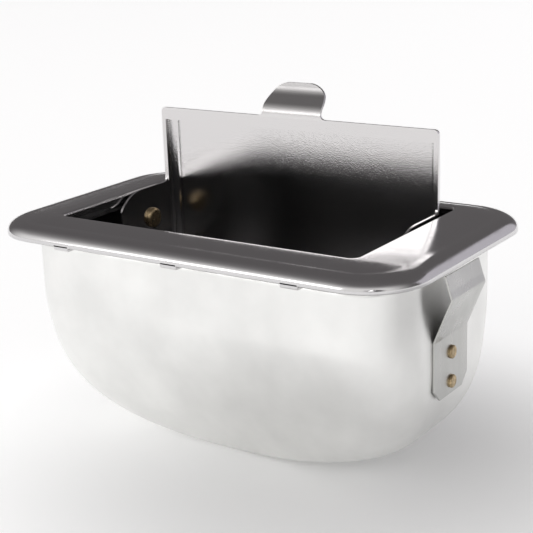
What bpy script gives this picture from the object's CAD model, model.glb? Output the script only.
"""Drop-in trough with a flip lid: finished sheet-metal meshes, materials, floor, light and camera."""

from math import cos, pi, radians, sin

import bmesh
import bpy
from mathutils import Matrix, Vector


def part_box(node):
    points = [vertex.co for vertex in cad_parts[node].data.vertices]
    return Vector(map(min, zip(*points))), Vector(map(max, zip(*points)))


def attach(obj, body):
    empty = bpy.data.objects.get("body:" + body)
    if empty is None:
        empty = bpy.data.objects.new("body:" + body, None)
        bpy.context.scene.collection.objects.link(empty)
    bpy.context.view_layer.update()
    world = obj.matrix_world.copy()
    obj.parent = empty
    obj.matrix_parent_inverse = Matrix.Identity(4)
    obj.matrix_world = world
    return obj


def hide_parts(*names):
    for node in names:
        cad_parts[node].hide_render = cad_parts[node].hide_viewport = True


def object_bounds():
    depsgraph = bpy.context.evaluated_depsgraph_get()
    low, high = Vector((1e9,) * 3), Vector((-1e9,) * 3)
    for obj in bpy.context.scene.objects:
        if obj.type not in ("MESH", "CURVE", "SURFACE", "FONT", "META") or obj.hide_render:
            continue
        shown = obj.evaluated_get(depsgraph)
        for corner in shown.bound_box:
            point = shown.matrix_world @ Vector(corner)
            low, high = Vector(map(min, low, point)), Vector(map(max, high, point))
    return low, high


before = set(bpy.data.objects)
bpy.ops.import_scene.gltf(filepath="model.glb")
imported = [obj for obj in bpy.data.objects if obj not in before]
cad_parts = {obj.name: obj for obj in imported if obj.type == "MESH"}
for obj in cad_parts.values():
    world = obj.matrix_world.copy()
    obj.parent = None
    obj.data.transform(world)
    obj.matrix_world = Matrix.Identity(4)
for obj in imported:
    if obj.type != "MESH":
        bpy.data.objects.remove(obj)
cad_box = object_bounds()
MM = 0.001
bezel_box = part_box("bezel")
pan_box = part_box("pan")
lid_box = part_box("lid")

# ---------------------------------------------------------------- camera
CAMERA_AZIMUTH = 34.31
CAMERA_ELEVATION = 16.64
CAMERA_ROLL = -2.04
CAMERA_DISTANCE = 0.400
AIM_BELOW_TOP = 12.68 * MM
CAMERA_AIM = Vector((0.01285, -0.0146, bezel_box[1].z - AIM_BELOW_TOP))
CAMERA_LENS = 88.7


def add_camera():
    """A camera at the photograph's viewing angle."""
    azimuth, elevation, roll = map(radians, (CAMERA_AZIMUTH, CAMERA_ELEVATION, CAMERA_ROLL))
    forward = Vector((-sin(azimuth) * cos(elevation), cos(azimuth) * cos(elevation), -sin(elevation)))
    level_right = Vector((cos(azimuth), sin(azimuth), 0))
    level_up = level_right.cross(forward)
    right = level_right * cos(roll) + level_up * sin(roll)
    up = level_up * cos(roll) - level_right * sin(roll)
    data = bpy.data.cameras.new("camera")
    data.lens = CAMERA_LENS
    data.sensor_width = 36.0
    camera = bpy.data.objects.new("camera", data)
    turn = Matrix((right, up, -forward)).transposed().to_4x4()
    camera.matrix_world = Matrix.Translation(CAMERA_AIM - forward * CAMERA_DISTANCE) @ turn
    bpy.context.scene.collection.objects.link(camera)
    bpy.context.scene.camera = camera


add_camera()


# ---------------------------------------------------------------- material helpers
def new_material(name, colour, metallic, roughness):
    """A principled material whose uniform values sit on the shader's own sockets."""
    material = bpy.data.materials.new(name)
    material.use_nodes = True
    shader = material.node_tree.nodes["Principled BSDF"]
    shader.inputs["Base Color"].default_value = (*colour, 1)
    shader.inputs["Metallic"].default_value = metallic
    shader.inputs["Roughness"].default_value = roughness
    return material, material.node_tree.nodes, material.node_tree.links, shader


def noise_node(nodes, links, coords, scale, detail=2.0, stretch=(1, 1, 1)):
    """A noise texture in object space, stretched along chosen axes."""
    mapping = nodes.new("ShaderNodeMapping")
    mapping.inputs["Scale"].default_value = stretch
    links.new(coords.outputs["Object"], mapping.inputs["Vector"])
    noise = nodes.new("ShaderNodeTexNoise")
    noise.inputs["Scale"].default_value = scale
    noise.inputs["Detail"].default_value = detail
    links.new(mapping.outputs["Vector"], noise.inputs["Vector"])
    return noise


def ramp_node(nodes, links, source, stops):
    """A colour ramp from a list of (position, colour or grey)."""
    ramp = nodes.new("ShaderNodeValToRGB")
    while len(ramp.color_ramp.elements) < len(stops):
        ramp.color_ramp.elements.new(0.5)
    for element, (position, value) in zip(ramp.color_ramp.elements, stops):
        element.position = position
        element.color = (value, value, value, 1) if isinstance(value, float) else (*value, 1)
    links.new(source, ramp.inputs["Fac"])
    return ramp


def map_range(nodes, links, source, reach, span):
    """A smooth step from one value to another as the source passes through its reach."""
    step = nodes.new("ShaderNodeMapRange")
    step.interpolation_type = "SMOOTHSTEP"
    step.inputs["From Min"].default_value, step.inputs["From Max"].default_value = reach
    step.inputs["To Min"].default_value, step.inputs["To Max"].default_value = span
    links.new(source, step.inputs["Value"])
    return step.outputs["Result"]


def bump_node(nodes, links, height, distance, strength=1.0, below=None):
    """Surface relief from a height, on top of another bump if one is given."""
    bump = nodes.new("ShaderNodeBump")
    bump.inputs["Distance"].default_value = distance
    bump.inputs["Strength"].default_value = strength
    links.new(height, bump.inputs["Height"])
    if below:
        links.new(below.outputs["Normal"], bump.inputs["Normal"])
    return bump


# ---------------------------------------------------------------- finishes
# Noise scales are in cycles per metre, so a larger number is a finer mark.
WAVE_SCALE = 38
PATCH_SCALE = 190
GRAIN_SCALE = 3200
CLOUD_SCALE = 42
DRAW_SCALE = 330
DRAW_STRETCH = (1, 1, 0.04)
PIT_SCALE = 2400
STAIN_SCALE = 520
WORN_FADE = 2 * MM
WORN_ROUGHNESS = 0.26
WORN_TONE = 0.72


def tinted(colour, share):
    """A colour made darker or lighter by a share, no channel above one."""
    return tuple(min(1.0, channel * share) for channel in colour)


def plated(name, colour, smooth, rough, grain_height, worn_from=None):
    """Plated sheet: patchy gloss, soft waviness, a fine pebbled grain, and duller above worn_from."""
    material, nodes, links, shader = new_material(name, colour, 1.0, smooth)
    coords = nodes.new("ShaderNodeTexCoord")
    waves = noise_node(nodes, links, coords, WAVE_SCALE, 2)
    patches = noise_node(nodes, links, coords, PATCH_SCALE, 4)
    grain = noise_node(nodes, links, coords, GRAIN_SCALE, 1)
    gloss = ramp_node(nodes, links, patches.outputs["Fac"], [(0.32, smooth), (0.7, rough)])
    roughness = gloss.outputs["Color"]
    if worn_from:
        split = nodes.new("ShaderNodeSeparateXYZ")
        links.new(coords.outputs["Object"], split.inputs["Vector"])
        fade = (worn_from, worn_from + WORN_FADE)
        worn = map_range(nodes, links, split.outputs["Z"], fade, (0.0, WORN_ROUGHNESS))
        total = nodes.new("ShaderNodeMath")
        links.new(roughness, total.inputs[0])
        links.new(worn, total.inputs[1])
        roughness = total.outputs["Value"]
        dull = map_range(nodes, links, split.outputs["Z"], fade, (0.0, 1.0))
        tone = ramp_node(nodes, links, dull, [(0.0, colour), (1.0, tinted(colour, WORN_TONE))])
        links.new(tone.outputs["Color"], shader.inputs["Base Color"])
    links.new(roughness, shader.inputs["Roughness"])
    wavy = bump_node(nodes, links, waves.outputs["Fac"], 0.0003, 0.15)
    pebbled = bump_node(nodes, links, grain.outputs["Fac"], grain_height, 1.0, wavy)
    links.new(pebbled.outputs["Normal"], shader.inputs["Normal"])
    return material


def drawn_steel(name, colour, roughness, streak):
    """Deep-drawn steel: satin, clouded, with faint vertical draw marks and small pits."""
    material, nodes, links, shader = new_material(name, colour, 1.0, roughness)
    coords = nodes.new("ShaderNodeTexCoord")
    cloud = noise_node(nodes, links, coords, CLOUD_SCALE, 4)
    draw = noise_node(nodes, links, coords, DRAW_SCALE, 3, DRAW_STRETCH)
    pits = noise_node(nodes, links, coords, PIT_SCALE, 2)
    tone_stops = [(0.28, tinted(colour, 0.9)), (0.72, tinted(colour, 1.04))]
    tone = ramp_node(nodes, links, cloud.outputs["Fac"], tone_stops)
    links.new(tone.outputs["Color"], shader.inputs["Base Color"])
    rough_stops = [(0.3, roughness - 0.06), (0.72, roughness + 0.08)]
    rough = ramp_node(nodes, links, draw.outputs["Fac"], rough_stops)
    links.new(rough.outputs["Color"], shader.inputs["Roughness"])
    marks = bump_node(nodes, links, draw.outputs["Fac"], streak, 0.6)
    clouds = bump_node(nodes, links, cloud.outputs["Fac"], 0.0004, 0.3, marks)
    pitted = bump_node(nodes, links, pits.outputs["Fac"], 0.000012, 0.6, clouds)
    links.new(pitted.outputs["Normal"], shader.inputs["Normal"])
    return material


def brass():
    """Dull brass with darker stains and a hammered head."""
    material, nodes, links, shader = new_material("brass", (0.5, 0.38, 0.22), 1.0, 0.3)
    coords = nodes.new("ShaderNodeTexCoord")
    stain = noise_node(nodes, links, coords, STAIN_SCALE, 4)
    stained, clean = (0.26, 0.19, 0.11), (0.58, 0.45, 0.27)
    tone = ramp_node(nodes, links, stain.outputs["Fac"], [(0.34, stained), (0.62, clean)])
    links.new(tone.outputs["Color"], shader.inputs["Base Color"])
    rough = ramp_node(nodes, links, stain.outputs["Fac"], [(0.34, 0.46), (0.62, 0.24)])
    links.new(rough.outputs["Color"], shader.inputs["Roughness"])
    dents = bump_node(nodes, links, stain.outputs["Fac"], 0.00012, 0.5)
    links.new(dents.outputs["Normal"], shader.inputs["Normal"])
    return material


WORN_DEPTH = 10 * MM
BEZEL_CHROME = plated("bezel_chrome", (0.66, 0.65, 0.655), 0.12, 0.2, 0.000008)
LID_CHROME = plated("lid_chrome", (0.66, 0.645, 0.645), 0.06, 0.11, 0.00003, lid_box[1].z - WORN_DEPTH)
PAN_STEEL = drawn_steel("pan_steel", (0.90, 0.90, 0.885), 0.34, 0.00004)
PAN_INSIDE = drawn_steel("pan_inside", (0.33, 0.33, 0.33), 0.36, 0.00003)
CLIP_STEEL = drawn_steel("clip_steel", (0.58, 0.58, 0.565), 0.3, 0.00001)
BRASS = brass()


# ---------------------------------------------------------------- mesh helpers
CORNER_STEPS = 14
SIDE_STEPS = 12
BEND_STEPS = 6


def rounded_ring(half_length, half_width, corner, height):
    """Points of a rounded rectangle, the same number for any size, in millimetres."""
    points = []
    for quarter in range(4):
        x_side = 1 if quarter in (0, 3) else -1
        y_side = 1 if quarter < 2 else -1
        centre = Vector((x_side * (half_length - corner), y_side * (half_width - corner)))
        for step in range(CORNER_STEPS + 1):
            angle = (quarter + step / CORNER_STEPS) * pi / 2
            points.append(centre + corner * Vector((cos(angle), sin(angle))))
        ahead = [(-1, 1), (-1, -1), (1, -1), (1, 1)][quarter]
        end = Vector((ahead[0] * (half_length - corner), ahead[1] * (half_width - corner)))
        end += corner * Vector((cos((quarter + 1) * pi / 2), sin((quarter + 1) * pi / 2)))
        start = points[-1].copy()
        for step in range(1, SIDE_STEPS):
            points.append(start.lerp(end, step / SIDE_STEPS))
    return [Vector((point.x, point.y, height)) * MM for point in points]


def skin(rings, close_first=False, close_last=False, loop=False, second_from=None):
    """A mesh of quads through rings of equal length; the second material starts at one ring."""
    mesh = bmesh.new()
    rows = [[mesh.verts.new(point) for point in ring] for ring in rings]
    pairs = list(zip(rows, rows[1:])) + ([(rows[-1], rows[0])] if loop else [])
    for level, (low, high) in enumerate(pairs):
        for index, vertex in enumerate(low):
            after = (index + 1) % len(low)
            face = mesh.faces.new((vertex, low[after], high[after], high[index]))
            face.material_index = int(second_from is not None and level >= second_from)
    if close_first:
        mesh.faces.new(rows[0])
    if close_last:
        mesh.faces.new(rows[-1]).material_index = int(second_from is not None)
    bmesh.ops.recalc_face_normals(mesh, faces=mesh.faces)
    return mesh


def add_piece(name, mesh, body, materials, replaces=None, smooth=True):
    """Turns a finished bmesh into a piece that rides on a body."""
    data = bpy.data.meshes.new(name)
    mesh.to_mesh(data)
    mesh.free()
    for material in materials:
        data.materials.append(material)
    for polygon in data.polygons:
        polygon.use_smooth = smooth
    piece = bpy.data.objects.new(name, data)
    bpy.context.scene.collection.objects.link(piece)
    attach(piece, body)
    if replaces:
        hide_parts(replaces)
    return piece


# ---------------------------------------------------------------- pan
SHEET = 0.8
PAN_HALF = (68.6, 37.7)
PAN_CORNER = 18.4
PAN_BOTTOM = pan_box[0].z / MM
PAN_DEPTH = bezel_box[1].z / MM - PAN_BOTTOM
PAN_END_START = 35.7
PAN_END_POWER = 3.0
PAN_BOTTOM_HALF = 1.5
PAN_SIDE_START = 27.0
PAN_SIDE_INSET = 19.5
PAN_SIDE_POWER = 1.35
PAN_CORNER_SHARE = 0.86
PAN_STRAIGHT_RINGS = 8
PAN_RINGS = 40
PAN_LAST_ANGLE = 88.6
FLANGE_HALF = (pan_box[1].x / MM, pan_box[1].y / MM)
FLANGE_CORNER = 18.55
FLANGE_TOP = pan_box[1].z / MM
FLANGE_BEND = 1.6


def drawn_inset(share, inset, power):
    """How far a drawn wall has come in, at a share of its curved depth."""
    return inset * (1 - (1 - min(share, 1.0) ** power) ** (1 / power))


def pan_ring(depth, thickness):
    """The pan's outline at a depth below the bezel top, outside or one sheet further in."""
    bottom = PAN_DEPTH - thickness
    end_share = max(0.0, (depth - PAN_END_START) / (bottom - PAN_END_START))
    side_share = max(0.0, (depth - PAN_SIDE_START) / (bottom - PAN_SIDE_START))
    half_length, half_width = (half - thickness for half in PAN_HALF)
    half_length -= drawn_inset(end_share, half_length - PAN_BOTTOM_HALF, PAN_END_POWER)
    half_width -= drawn_inset(side_share, PAN_SIDE_INSET, PAN_SIDE_POWER)
    corner = min(PAN_CORNER - thickness, PAN_CORNER_SHARE * half_length, PAN_CORNER_SHARE * half_width)
    return rounded_ring(half_length, half_width, corner, bezel_box[1].z / MM - depth)


def pan_wall(thickness):
    """Rings from the flange down to the bottom, closer together as the wall turns in."""
    flange_depth = bezel_box[1].z / MM - FLANGE_TOP
    rings = []
    top = flange_depth + FLANGE_BEND + SHEET
    for step in range(PAN_STRAIGHT_RINGS):
        depth = top + (PAN_SIDE_START - top) * step / PAN_STRAIGHT_RINGS
        rings.append(pan_ring(depth, thickness))
    for step in range(PAN_RINGS + 1):
        share = sin(radians(PAN_LAST_ANGLE) * step / PAN_RINGS)
        rings.append(pan_ring(PAN_SIDE_START + share * (PAN_DEPTH - thickness - PAN_SIDE_START), thickness))
    return rings


def flange_bend_rings(thickness, radius, height):
    """The quarter-round between the wall and the flange, from the wall up and out."""
    half_length, half_width = (half - thickness for half in PAN_HALF)
    rings = []
    for step in range(BEND_STEPS + 1):
        angle = pi / 2 * step / BEND_STEPS
        out = radius * (1 - cos(angle))
        rings.append(rounded_ring(half_length + out, half_width + out, PAN_CORNER - thickness + out,
                                  height - radius + radius * sin(angle)))
    return rings


def add_pan():
    """The drawn pan: flange, bend, walls and bottom, with both faces of the sheet."""
    outside = flange_bend_rings(0, FLANGE_BEND, FLANGE_TOP - SHEET)
    inside = flange_bend_rings(SHEET, FLANGE_BEND + SHEET, FLANGE_TOP)
    rim_low = rounded_ring(*FLANGE_HALF, FLANGE_CORNER, FLANGE_TOP - SHEET)
    rim_high = rounded_ring(*FLANGE_HALF, FLANGE_CORNER, FLANGE_TOP)
    outer_rings = list(reversed(pan_wall(0))) + outside + [rim_low]
    inner_rings = [rim_high] + list(reversed(inside)) + pan_wall(SHEET)
    mesh = skin(outer_rings + inner_rings, close_first=True, close_last=True, second_from=len(outer_rings))
    add_piece("pan_shell", mesh, "tray", (PAN_STEEL, PAN_INSIDE), "pan")


# ---------------------------------------------------------------- bezel
BEZEL_HALF = (75.0, 46.5)
BEZEL_CORNER = 19.5
MOUTH_HALF = (54.0, 31.75)
MOUTH_CORNER = 2.2
SKIRT_BOTTOM = 1.2
BEZEL_TOP = bezel_box[1].z / MM
ROLL_WIDTH = 6.4
ROLL_HEIGHT = 3.7
TOP_FALL = 1.3
LIP_DEPTH = 4.9
LIP_BEAD = 1.1
ROLL_STEPS = 12
CROWN_STEPS = 12
CROWN_POWER = 1.6
CROWN_SETTLE = 0.02


def bezel_face(thickness):
    """Rings of one face of the bezel sheet, from the skirt's bottom to the lip's bottom."""
    length, width = (half - thickness for half in BEZEL_HALF)
    corner = BEZEL_CORNER - thickness
    roll_width, roll_height = ROLL_WIDTH - thickness, ROLL_HEIGHT - thickness
    roll_base = BEZEL_TOP - TOP_FALL - ROLL_HEIGHT
    rings = [rounded_ring(length, width, corner, SKIRT_BOTTOM)]
    rings.append(rounded_ring(length, width, corner, (SKIRT_BOTTOM + roll_base) / 2))
    for step in range(ROLL_STEPS + 1):
        angle = pi / 2 * step / ROLL_STEPS
        inset = roll_width * (1 - cos(angle))
        height = roll_base + roll_height * sin(angle)
        rings.append(rounded_ring(length - inset, width - inset, corner - inset, height))
    start = (length - roll_width, width - roll_width, corner - roll_width)
    bead = LIP_BEAD if thickness == 0 else LIP_BEAD - SHEET
    mouth = tuple(half + thickness for half in MOUTH_HALF) + (MOUTH_CORNER + thickness,)
    for step in range(1, CROWN_STEPS):
        share = step / CROWN_STEPS
        rise = (TOP_FALL - CROWN_SETTLE) * (1 - (1 - share) ** CROWN_POWER)
        size = [low + (high + bead - low) * share for low, high in zip(start, mouth)]
        rings.append(rounded_ring(*size, BEZEL_TOP - TOP_FALL - thickness + rise))
    for step in range(BEND_STEPS + 1):
        angle = pi / 2 * step / BEND_STEPS
        out = bead * (1 - sin(angle))
        drop = bead * (1 - cos(angle))
        rings.append(rounded_ring(*(size + out for size in mouth), BEZEL_TOP - thickness - drop))
    rings.append(rounded_ring(*mouth, BEZEL_TOP - LIP_DEPTH / 2))
    rings.append(rounded_ring(*mouth, BEZEL_TOP - LIP_DEPTH))
    return rings


def add_plate(mesh, outline, thickness, normal_axis, start):
    """A flat plate in the bmesh: an outline of (a, b) points across one axis, with a small bevel."""
    axes = {"x": lambda a, b, c: (c, a, b), "y": lambda a, b, c: (a, c, b)}
    place = axes[normal_axis]
    rows = []
    for level in (start, start + thickness):
        rows.append([mesh.verts.new(Vector(place(a, b, level)) * MM) for a, b in outline])
    mesh.faces.new(rows[0])
    mesh.faces.new(list(reversed(rows[1])))
    for index in range(len(outline)):
        after = (index + 1) % len(outline)
        mesh.faces.new((rows[0][index], rows[1][index], rows[1][after], rows[0][after]))


PIVOT_Y = 11.65
PIVOT_Z = BEZEL_TOP - 10.8
LUG_TOP_HALF = 9.5
LUG_HALF = 6.0
LUG_SPREAD = 1.1
LUG_SHOULDER = 2
LUG_STEPS = 12


def add_lugs():
    """Two hinge lugs hanging from the lip, one at each end of the mouth."""
    lip_bottom = BEZEL_TOP - LIP_DEPTH
    root, shoulder = lip_bottom + SHEET, lip_bottom - LUG_SHOULDER
    outline = [(PIVOT_Y - LUG_TOP_HALF, root), (PIVOT_Y - LUG_TOP_HALF, shoulder)]
    for step in range(LUG_STEPS + 1):
        angle = pi + pi * step / LUG_STEPS
        outline.append((PIVOT_Y + LUG_HALF * LUG_SPREAD * cos(angle), PIVOT_Z + LUG_HALF * sin(angle)))
    outline += [(PIVOT_Y + LUG_TOP_HALF, shoulder), (PIVOT_Y + LUG_TOP_HALF, root)]
    for side, start in (("left", -MOUTH_HALF[0] - SHEET), ("right", MOUTH_HALF[0])):
        mesh = bmesh.new()
        add_plate(mesh, outline, SHEET, "x", start)
        bmesh.ops.recalc_face_normals(mesh, faces=mesh.faces)
        lug = add_piece(f"hinge_lug_{side}", mesh, "tray", (BEZEL_CHROME,), smooth=False)
        edge_bevel(lug, 0.15)


def edge_bevel(piece, width):
    """Rounds a plate's edges and keeps its faces flat."""
    bevel = piece.modifiers.new("edge", "BEVEL")
    bevel.width = width * MM
    bevel.segments = 3
    bevel.limit_method = "ANGLE"
    bevel.harden_normals = True


TONGUE_WIDTH = 5.7
TONGUE_PITCH = 41.5
TONGUE_REACH = 4.5
TONGUE_BEND = 0.7
TONGUE_STEPS = 4
TONGUE_OVERLAP = 0.5


def add_tongues():
    """Six crimp tongues: down from the skirt, round a small bend and in under the flange."""
    face = BEZEL_HALF[1]
    root = SKIRT_BOTTOM + TONGUE_OVERLAP
    for row, y_side in (("front", -1), ("back", 1)):
        for number in range(3):
            centre = (number - 1) * TONGUE_PITCH
            path = [(face, root)]
            for step in range(TONGUE_STEPS + 1):
                angle = pi / 2 * step / TONGUE_STEPS
                path.append((face - TONGUE_BEND * (1 - cos(angle)), TONGUE_BEND * (1 - sin(angle))))
            path.append((face - TONGUE_REACH, 0))
            inner = [(face - TONGUE_REACH, SHEET), (face - SHEET, SHEET), (face - SHEET, root)]
            mesh = bmesh.new()
            outline = [(y_side * y, z) for y, z in path + inner]
            add_plate(mesh, outline, TONGUE_WIDTH, "x", centre - TONGUE_WIDTH / 2)
            bmesh.ops.recalc_face_normals(mesh, faces=mesh.faces)
            tongue = add_piece(f"crimp_tongue_{row}_{number + 1}", mesh, "tray",
                               (BEZEL_CHROME,), smooth=False)
            edge_bevel(tongue, 0.12)


def add_bezel():
    """The pressed frame: skirt, roll, crowned top, beaded mouth and turned-down lip."""
    mesh = skin(bezel_face(0) + list(reversed(bezel_face(SHEET))), loop=True)
    add_piece("bezel_shell", mesh, "tray", (BEZEL_CHROME,), "bezel")
    add_lugs()
    add_tongues()


# ---------------------------------------------------------------- spring clips
CLIP_WIDTH = 21.6
CLIP_Y = -3.0
CLIP_CHAMFER = 3.6
CLIP_KINK = (PAN_HALF[0] + 0.5, BEZEL_TOP - 28.2)
CLIP_BULGE = (PAN_HALF[0] + 6.05, BEZEL_TOP - 14.6)
CLIP_TIP = (PAN_HALF[0] + 3.95, BEZEL_TOP - 7.7)
LEAF_SHEET = 0.7
BEND_RADIUS = 0.9
FOOT_BOTTOM = BEZEL_TOP - 47.0
FOOT_SEAT = 0.02


def bent_path():
    """Centre line of the leaf in the end view: from the lower bend, out to the bulge and in to the tip."""
    kink, bulge, tip = (Vector(point) for point in (CLIP_KINK, CLIP_BULGE, CLIP_TIP))
    into, away = (kink - bulge).normalized(), (tip - bulge).normalized()
    half = into.angle(away) / 2
    reach = BEND_RADIUS / sin(half) * cos(half)
    centre = bulge + (into + away).normalized() * (BEND_RADIUS / sin(half))
    points = [kink.lerp(bulge + into * reach, step / 4) for step in range(4)]
    first, last = bulge + into * reach - centre, bulge + away * reach - centre
    for step in range(7):
        points.append(centre + first.slerp(last, step / 6))
    points += [(bulge + away * reach).lerp(tip, step / 3) for step in range(1, 4)]
    return points


def strip(path, thickness):
    """The outline of a sheet strip about its centre line, with a round end at its start."""
    sides = ([], [])
    for index, point in enumerate(path):
        along = (path[min(index + 1, len(path) - 1)] - path[max(index - 1, 0)]).normalized()
        across = Vector((-along.y, along.x)) * thickness / 2
        sides[0].append(point + across)
        sides[1].append(point - across)
    start = (path[1] - path[0]).normalized()
    end_cap = []
    for step in range(1, 8):
        turn = Matrix.Rotation(-pi * step / 8, 2)
        end_cap.append(path[0] + turn @ (Vector((start.y, -start.x)) * thickness / 2))
    return sides[0] + list(reversed(sides[1])) + end_cap


def add_clips():
    """Each clip is one bent strip: a riveted foot and a leaf that share a round bend."""
    path = bent_path()
    for side_name, side in (("left", -1), ("right", 1)):
        mesh = bmesh.new()
        outline = [(side * point.x, point.y) for point in strip(path, LEAF_SHEET)]
        add_plate(mesh, outline, CLIP_WIDTH, "y", CLIP_Y - CLIP_WIDTH / 2)
        bmesh.ops.recalc_face_normals(mesh, faces=mesh.faces)
        leaf = add_piece(f"clip_spring_{side_name}", mesh, f"clip_leaf_{side_name}",
                         (CLIP_STEEL,), f"clip_leaf_{side_name}", smooth=False)
        edge_bevel(leaf, 0.14)
        mesh = bmesh.new()
        low, high = CLIP_Y - CLIP_WIDTH / 2, CLIP_Y + CLIP_WIDTH / 2
        outline = [
            (low, CLIP_KINK[1]), (high, CLIP_KINK[1]), (high, FOOT_BOTTOM + CLIP_CHAMFER),
            (high - CLIP_CHAMFER, FOOT_BOTTOM), (low + CLIP_CHAMFER, FOOT_BOTTOM),
            (low, FOOT_BOTTOM + CLIP_CHAMFER),
        ]
        inner_face = PAN_HALF[0] + FOOT_SEAT
        add_plate(mesh, outline, SHEET, "x", inner_face if side > 0 else -inner_face - SHEET)
        bmesh.ops.recalc_face_normals(mesh, faces=mesh.faces)
        foot = add_piece(f"clip_plate_{side_name}", mesh, "tray",
                         (CLIP_STEEL,), f"clip_foot_{side_name}", smooth=False)
        edge_bevel(foot, 0.2)


add_pan()
add_bezel()
add_clips()

for name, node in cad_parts.items():
    if name in ("bezel", "pan") or name.startswith(("clip_foot", "clip_leaf")):
        continue
    if name == "lid":
        finish = LID_CHROME
    elif "rivet" in name:
        finish = BRASS
    else:
        finish = CLIP_STEEL
    node.data.materials.clear()
    node.data.materials.append(finish)


# ---------------------------------------------------------------- floor, world and light
FLOOR_SIZE = 6
FLOOR_GLOW = 0.68
def floor_shade(nodes, links, coords, centre, reach, darkest):
    """A soft round shade on the floor: darkest at its centre, one beyond its reach."""
    away = nodes.new("ShaderNodeVectorMath")
    away.operation = "DISTANCE"
    away.inputs[1].default_value = centre
    links.new(coords.outputs["Object"], away.inputs[0])
    return map_range(nodes, links, away.outputs["Value"], reach, (darkest, 1.0))


def add_floor():
    """A plain pale floor under the pan, evenly lit like a light table."""
    bpy.ops.mesh.primitive_plane_add(size=FLOOR_SIZE, location=(0, 0, cad_box[0].z))
    floor = bpy.context.object
    floor.name = "floor"
    material, nodes, links, shader = new_material("floor_paper", (0.85, 0.85, 0.85), 0.0, 0.9)
    shader.inputs["Emission Color"].default_value = (1, 1, 1, 1)
    coords = nodes.new("ShaderNodeTexCoord")
    under = floor_shade(nodes, links, coords, (0.03, -0.01, 0), (0.02, 0.14), 0.2)
    beside = floor_shade(nodes, links, coords, (0.32, 0.04, 0), (0.08, 0.27), 0.4)
    glow = nodes.new("ShaderNodeMath")
    glow.operation = "MULTIPLY"
    links.new(under, glow.inputs[0])
    links.new(beside, glow.inputs[1])
    strength = nodes.new("ShaderNodeMath")
    strength.operation = "MULTIPLY"
    strength.inputs[1].default_value = FLOOR_GLOW
    links.new(glow.outputs["Value"], strength.inputs[0])
    links.new(strength.outputs["Value"], shader.inputs["Emission Strength"])
    floor.data.materials.append(material)


def add_world():
    """A studio bright in front, dark overhead and behind, with a dark stand at the front right."""
    world = bpy.data.worlds.new("studio")
    world.use_nodes = True
    nodes, links = world.node_tree.nodes, world.node_tree.links
    background = nodes["Background"]
    coords = nodes.new("ShaderNodeTexCoord")
    split = nodes.new("ShaderNodeSeparateXYZ")
    links.new(coords.outputs["Generated"], split.inputs["Vector"])
    front = map_range(nodes, links, split.outputs["Y"], (0.35, -0.6), (0.0, 1.0))
    low = map_range(nodes, links, split.outputs["Z"], (0.45, 0.95), (1.0, 0.05))
    both = nodes.new("ShaderNodeMath")
    both.operation = "MULTIPLY"
    links.new(front, both.inputs[0])
    links.new(low, both.inputs[1])
    standing = nodes.new("ShaderNodeVectorMath")
    standing.operation = "DISTANCE"
    standing.inputs[1].default_value = (0.62, -0.76, 0.18)
    links.new(coords.outputs["Generated"], standing.inputs[0])
    clear = map_range(nodes, links, standing.outputs["Value"], (0.16, 0.34), (0.0, 1.0))
    lit = nodes.new("ShaderNodeMath")
    lit.operation = "MULTIPLY"
    links.new(both.outputs["Value"], lit.inputs[0])
    links.new(clear, lit.inputs[1])
    mix = nodes.new("ShaderNodeMix")
    mix.data_type = "RGBA"
    links.new(lit.outputs["Value"], mix.inputs["Factor"])
    mix.inputs["A"].default_value = (0.135, 0.128, 0.130, 1)
    mix.inputs["B"].default_value = (0.95, 0.94, 0.93, 1)
    links.new(mix.outputs["Result"], background.inputs["Color"])
    background.inputs["Strength"].default_value = 1.0
    bpy.context.scene.world = world


def add_softbox(name, place, aim, size, power, tint=(1, 1, 1)):
    """A rectangular soft light."""
    data = bpy.data.lights.new(name, "AREA")
    data.shape = "RECTANGLE"
    data.size, data.size_y = size
    data.energy = power
    data.color = tint
    lamp = bpy.data.objects.new(name, data)
    lamp.location = place
    lamp.rotation_euler = (Vector(aim) - Vector(place)).to_track_quat("-Z", "Y").to_euler()
    bpy.context.scene.collection.objects.link(lamp)


add_floor()
add_world()
add_softbox("front_box", (-0.7, -1.3, 0.5), (0, 0, -0.02), (0.8, 0.5), 2.2)
add_softbox("right_box", (1.0, 1.5, 0.5), (0, 0, 0), (2.0, 1.1), 3.6, (0.94, 0.92, 1.0))
add_softbox("corner_box", (0.7, -1.0, 0.28), (0, 0, 0), (0.10, 0.16), 0.3)
bpy.context.scene.view_settings.view_transform = "Standard"
